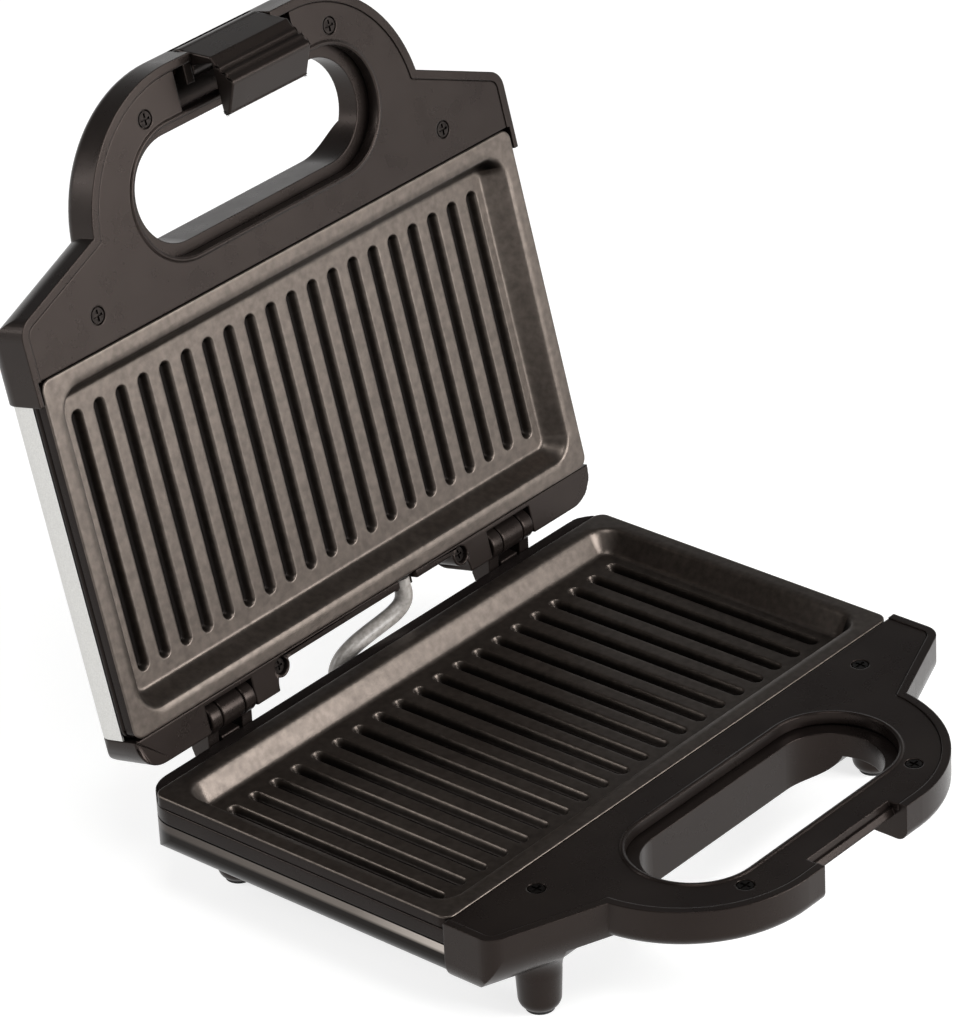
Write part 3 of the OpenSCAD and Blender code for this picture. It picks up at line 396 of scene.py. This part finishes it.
def grill_plate(name, place, node):
    """Height field on lines that follow the grooves and the pan's walls. In the last 4 mm the corner squares
    are drawn to quarter discs by (u, v) -> (u sqrt(1 - v*v/2), v sqrt(1 - u*u/2)). The rim turns down in a
    quarter circle to the flange's skirt, and a flat underside closes it."""
    # lines from a groove's middle to the ridge's, along the pan's walls and over the corners
    across = np.array([0, 0.6, 0.9, 1.15, 1.4, 1.65, 1.9, 2.1, 2.35, 2.6, 2.8, 3.4, GROOVE_PITCH / 2])
    middles = (np.arange(GROOVES // 2) + 0.5) * GROOVE_PITCH
    fine, round_end, corner = 0.5, 3.2, np.linspace(0, FLAT_R, 6)
    xs = np.concatenate([(middles[:, None] + across).ravel(), (middles[:, None] - across).ravel(),
                         np.arange(PAN_X - PAN_R, PAN_X + fine, fine), HW - PLATE_R + corner])
    ys = np.concatenate([np.linspace(0, GROOVE_END, 5), GROOVE_END + np.arange(0, round_end, fine / 2),
                         np.arange(PAN_Y - PAN_R, PAN_Y + fine, fine), HD - PLATE_R + corner])
    x, y = np.meshgrid(mirrored(xs), mirrored(ys), indexing="ij")
    z, groove = pan_height(x, y), groove_depth(x, y)
    # the groove numbers also give painted shade in the coat; painted shade is added on the wall on the
    # handle's side
    wall = np.clip(-z / PAN_DEPTH, 0, 1)
    groove = np.maximum(groove, np.where(y < -PAN_Y + PAN_SLOPE + 1, 4 * wall * (1 - wall), 0))
    u = np.clip((np.abs(x) - HW + PLATE_R) / FLAT_R, 0, 1)
    v = np.clip((np.abs(y) - HD + PLATE_R) / FLAT_R, 0, 1)
    x = np.where(u > 0, np.sign(x) * (HW - PLATE_R + FLAT_R * u * np.sqrt(1 - v * v / 2)), x)
    y = np.where(v > 0, np.sign(y) * (HD - PLATE_R + FLAT_R * v * np.sqrt(1 - u * u / 2)), y)
    top = np.stack([x, y, z], -1)
    # the border runs round the grid once, and out is its direction away from the corners' centres
    border = np.concatenate([top[:-1, 0], top[-1, :-1], top[:0:-1, -1], top[0, :0:-1]])[:, :2]
    core = np.clip(border, (-(HW - PLATE_R), -(HD - PLATE_R)), (HW - PLATE_R, HD - PLATE_R))
    out = (border - core) / np.linalg.norm(border - core, axis=1)[:, None]
    a = np.radians(np.linspace(0, 90, 5))
    flat = core[None] + out[None] * (FLAT_R + RIM_R * np.append(np.sin(a), 1.0))[:, None, None]
    height = np.append(RIM_R * np.cos(a) - RIM_R, -FLANGE_T)
    inner = np.clip(border, (-UNDER_X, -UNDER_Y), (UNDER_X, UNDER_Y))
    under = (border - inner) / np.linalg.norm(border - inner, axis=1)[:, None]
    flat = np.concatenate([flat, np.repeat((inner + under * UNDER_R)[None], 2, 0)])
    height = np.append(height, (-FLANGE_T, -PLATE_T))
    skirt = np.concatenate([flat, np.broadcast_to(height[:, None, None], flat.shape[:2] + (1,))], -1)
    o = make_piece(name, [grid_mesh(top), grid_mesh(skirt, wrap=True, caps=[-1])], place, [node], PLATE_SHARP,
                   groove=np.append(groove, np.zeros(skirt.shape[0] * skirt.shape[1])))
    # the flank below the rounded rim takes the black enamel finish
    o.data.materials.append(FINISH["frame_metal"])
    coat = np.zeros(len(o.data.polygons), int)
    coat[(top.shape[0] - 1) * (top.shape[1] - 1) + (len(a) - 1) * len(border):] = 1
    o.data.polygons.foreach_set("material_index", coat)
    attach(o, BODY[node])


grill_plate("lower_grill_plate", base_place, "lower_plate")
grill_plate("upper_grill_plate", lid_place, "upper_plate")


# Frames, rear housings, latch and gland
for node, width in (("lower_frame", 0.6), ("upper_frame", 0.6), ("lower_rear_housing", 0.5),
                    ("upper_rear_housing", 0.5), ("latch", 0.5), ("cord_gland", 0.3)):
    eased(node, width)


# Legs
LEG_X, LEG_Y = 88.0, (-HD - 13.0, HD - 10.0)
# radii and heights over the table; the flare ends inside the body
FOOT_LIFT, FOOT_FLAT, FOOT_EDGE = 0.4, 2.8, 4.3
TAPER_TOP, TAPER_GROW, FLARE_TOP, FLARE_GROW = 14.5, 0.5, 23.5, 3.4


def leg(name, x, y, sides=64, axis=0.05):
    """Turned leg: its radius grows slowly from a rounded foot and flares where it runs into the body."""
    a, rise = np.radians(np.linspace(-90, 0, 12)), np.linspace(0, 1, 12)[1:]
    low, r = FOOT_LIFT + FOOT_EDGE, FOOT_FLAT + FOOT_EDGE
    foot = np.stack([FOOT_FLAT + FOOT_EDGE * np.cos(a), low + FOOT_EDGE * np.sin(a)], -1)
    taper = np.stack([r + TAPER_GROW * rise, low + (TAPER_TOP - low) * rise], -1)
    flare = np.stack([r + TAPER_GROW + FLARE_GROW * rise ** 2.5,
                      TAPER_TOP + (FLARE_TOP - TAPER_TOP) * rise], -1)
    line = np.concatenate([[(axis, FOOT_LIFT)], foot, taper, flare, [(axis, FLARE_TOP)]])
    turn = np.linspace(0, 2 * np.pi, sides, endpoint=False)
    ring = line[:, None, 0]
    up = np.broadcast_to(line[:, None, 1] - BODY_Z, (len(line), sides))
    points = np.stack([x + ring * np.cos(turn), y + ring * np.sin(turn), up], -1)
    o = make_piece("turned_" + name, [grid_mesh(points, wrap=True, caps=[0, -1])], base_place, [name])
    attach(o, "base")


for at, y in zip(("front", "rear"), LEG_Y):
    leg("leg_%s_left" % at, -LEG_X, y)
    leg("leg_%s_right" % at, LEG_X, y)


# Lead between the halves
LEAD_R = 3.1
# from the bushing in the base's wall to the one in the lid's, y counted from the plate's rear edge
ROUTE = ((-13, 0.7, -15), (-13, 6.7, -15), (-12.8, 9.4, -14.3), (-12.2, 11.6, -11.9), (-11, 12.4, -8.2),
         (-8.4, 12, -4.6), (-3.6, 11, -1.6), (2.4, 10, 0.4), (8.4, 9, 2), (14, 8, 3.8), (17.6, 7.4, 6.2),
         (19, 7.5, 9.2), (19, 8.2, 12.2), (19, 8.85, 15))


def smooth_route(points, steps):
    """Curve through all points: on each stretch the cubic whose end slopes are half the step between the
    neighbours on both sides."""
    p = np.asarray(points, float)
    p = np.concatenate([2 * p[:1] - p[1:2], p, 2 * p[-1:] - p[-2:-1]])
    t = (np.arange(steps) / steps)[None, :, None]
    a, b, c, d = (p[k:len(p) - 3 + k, None] for k in range(4))
    square, cube = 2 * a - 5 * b + 4 * c - d, 3 * b - a - 3 * c + d
    curve = 0.5 * (2 * b + (c - a) * t + square * t ** 2 + cube * t ** 3)
    return np.concatenate([curve.reshape(-1, 3), p[-2:-1]])


def sleeve(points, r, sides=28):
    """Tube of radius r about a line: at each point a circle square to the line, begun from one fixed
    direction."""
    way = np.gradient(points, axis=0)
    way /= np.linalg.norm(way, axis=1)[:, None]
    u = np.cross(way, (1.0, -1.0, -1.0))
    u /= np.linalg.norm(u, axis=1)[:, None]
    v = np.cross(way, u)
    a = np.linspace(0, 2 * np.pi, sides, endpoint=False)[:, None]
    return points[:, None] + r * (np.cos(a) * u[:, None] + np.sin(a) * v[:, None])


route = smooth_route(ROUTE, 6) + (0, HD, 0)
lead = make_piece("sleeved_lead", [grid_mesh(sleeve(route, LEAD_R), wrap=True, caps=[0, -1])], base_place,
                  ["lead_sleeve"])
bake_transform(lead)


# Lips of the finger holes
HOLE_CX, HOLE_CY, HOLE_R = 36.0, -98.0, 22.0
BEAD_R, BEAD_OUT, BEAD_UP = 0.8, 0.85, -0.55


def stadium(r, n=40):
    """Closed line at distance r from a straight stretch: two half circles and their joining sides."""
    a = np.radians(np.linspace(-90, 90, n))
    right = np.stack([HOLE_CX + r * np.cos(a), HOLE_CY + r * np.sin(a)], -1)
    left = np.stack([-HOLE_CX - r * np.cos(a), HOLE_CY - r * np.sin(a)], -1)
    return np.concatenate([right, left])


def hole_lip(name, place, node):
    """Bead round a finger hole: a circle half sunk in the panel's ring, carried along the stadium."""
    a = np.radians(np.linspace(0, 360, 16, endpoint=False))
    flat = np.stack([stadium(HOLE_R + BEAD_OUT + BEAD_R * c) for c in np.cos(a)])
    up = np.broadcast_to((BEAD_UP + BEAD_R * np.sin(a))[:, None, None], flat.shape[:2] + (1,))
    ring = np.concatenate([flat, up], -1)
    o = make_piece(name, [grid_mesh(np.concatenate([ring, ring[:1]]), wrap=True)], place, [], slot=SLOT[node])
    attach(o, BODY[node])


hole_lip("lower_hole_lip", base_place, "lower_panel")
hole_lip("upper_hole_lip", lid_place, "upper_panel")


# Floor, backdrop and light
FLOOR_HALF, FLOOR_GLOW = 4.0, 0.76


def white_floor():
    """Matt white paper: a grey sheet that takes the lamps and the object's shadow, with an even white added
    to what the camera, reflections and clear parts see, so that the ground stays white."""
    m, t, b = new_material("matt_white_studio_paper", Roughness=0.9, Specular__IOR__Level=0.0)
    b.inputs["Base Color"].default_value = linear("#b4b4b3")
    ray = add(t, "LightPath").outputs
    either = {"operation": "MAXIMUM"}
    seen = add(t, "Math", either, _0=ray["Is Camera Ray"], _1=ray["Is Glossy Ray"])
    seen = add(t, "Math", either, _0=seen.outputs[0], _1=ray["Is Transmission Ray"])
    glow = add(t, "Math", {"operation": "MULTIPLY", 1: FLOOR_GLOW}, _0=seen.outputs[0])
    b.inputs["Emission Color"].default_value = linear("#ffffff")
    t.links.new(glow.outputs[0], b.inputs["Emission Strength"])
    return m


floor = bpy.data.meshes.new("floor")
corners = [(x * FLOOR_HALF, y * FLOOR_HALF, 0) for x, y in ((-1, -1), (1, -1), (1, 1), (-1, 1))]
floor.from_pydata(corners, [], [(0, 1, 2, 3)])
floor.materials.append(white_floor())
ground = bpy.data.objects.new("floor", floor)
bpy.context.scene.collection.objects.link(ground)

world = bpy.data.worlds.new("studio")
bpy.context.scene.world = world
world.use_nodes = True
# white round the horizon, as the studio's walls are, and dim above
air = world.node_tree
height = add(air, "SeparateXYZ", Vector=add(air, "TexCoord").outputs["Generated"])
stops = [(0.0, "#ffffff"), (0.12, "#ffffff"), (0.34, "#686868"), (1.0, "#686868")]
walls = add(air, "ValToRGB", {"stops": stops}, _0=height.outputs[2])
air.links.new(walls.outputs[0], air.nodes["Background"].inputs[0])


def softbox(name, at, size, power, aim=(0, 0, 0.1)):
    """Square area lamp at a point, facing the middle of the object."""
    lamp = bpy.data.lights.new(name, "AREA")
    lamp.shape, lamp.size, lamp.energy = "SQUARE", size, power
    o = bpy.data.objects.new(name, lamp)
    at, aim = np.array(at, float), np.array(aim, float)
    back = (at - aim) / np.linalg.norm(at - aim)
    side = np.cross((0, 0, 1), back)
    side /= np.linalg.norm(side)
    up = np.cross(back, side)
    turn = Matrix([[side[i], up[i], back[i]] for i in range(3)]).to_4x4()
    o.matrix_world = Matrix.Translation(at.tolist()) @ turn
    bpy.context.scene.collection.objects.link(o)


softbox("key_softbox", (0.5, -1.2, 0.55), 0.8, 24.0)
softbox("top_softbox", (-0.5, -0.5, 1.5), 0.6, 8.0)
softbox("rim_softbox", (-1.0, 1.0, 0.8), 0.6, 8.0)

bpy.context.scene.view_settings.view_transform = "Standard"
